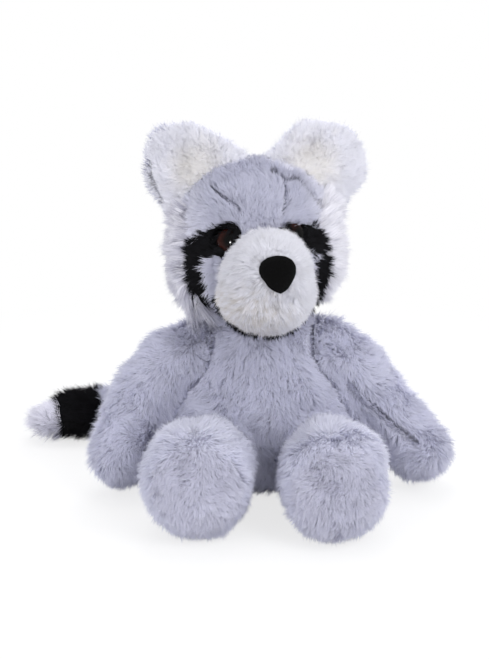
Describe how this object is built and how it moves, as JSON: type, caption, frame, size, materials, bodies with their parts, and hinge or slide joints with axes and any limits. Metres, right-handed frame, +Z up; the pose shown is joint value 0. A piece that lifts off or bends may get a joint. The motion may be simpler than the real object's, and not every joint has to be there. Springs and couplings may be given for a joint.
{
  "type": "plush raccoon",
  "caption": "Seated stuffed raccoon with long pile, upright rounded ears, ball muzzle, dark eye masks, floppy arms, forward feet and a ringed tail; it rests on its flat rump and feet.",
  "frame": {"origin": "middle of the flat face under the rump, on the plane that the figure sits on", "axes": "+Z up, -Y out of the face and along the legs, +X to the right as seen from in front"},
  "size_m": [0.3004, 0.251, 0.2501],
  "materials": {
    "grey_fur": "long soft pile, lavender grey",
    "cheek_fur": "extra long pile, silver white with grey streaks",
    "white_fur": "soft white pile",
    "sole_fur": "short soft pile, lavender grey",
    "black_fur": "long black pile",
    "nose_fleece": "matt black fleece",
    "eye_gloss": "glossy dark brown",
    "washer_plastic": "matt black"
  },
  "bodies": {
    "root": {"torso": "grey_fur", "head": "grey_fur", "cheek_l": "cheek_fur", "cheek_r": "cheek_fur", "mask_l": "black_fur", "mask_r": "black_fur", "chin_band": "black_fur", "muzzle": "white_fur", "nose": "nose_fleece", "eye_l": "eye_gloss", "eye_r": "eye_gloss", "eye_washer_l": "washer_plastic", "eye_washer_r": "washer_plastic", "ear_back_l": "grey_fur", "ear_back_r": "grey_fur", "ear_lining_l": "white_fur", "ear_lining_r": "white_fur", "arm_l": "grey_fur", "arm_r": "grey_fur", "leg_l": "grey_fur", "leg_r": "grey_fur", "sole_l": "sole_fur", "sole_r": "sole_fur", "tail_base": "grey_fur", "tail_ring": "black_fur", "tail_tip": "cheek_fur"}
  },
  "joints": []
}
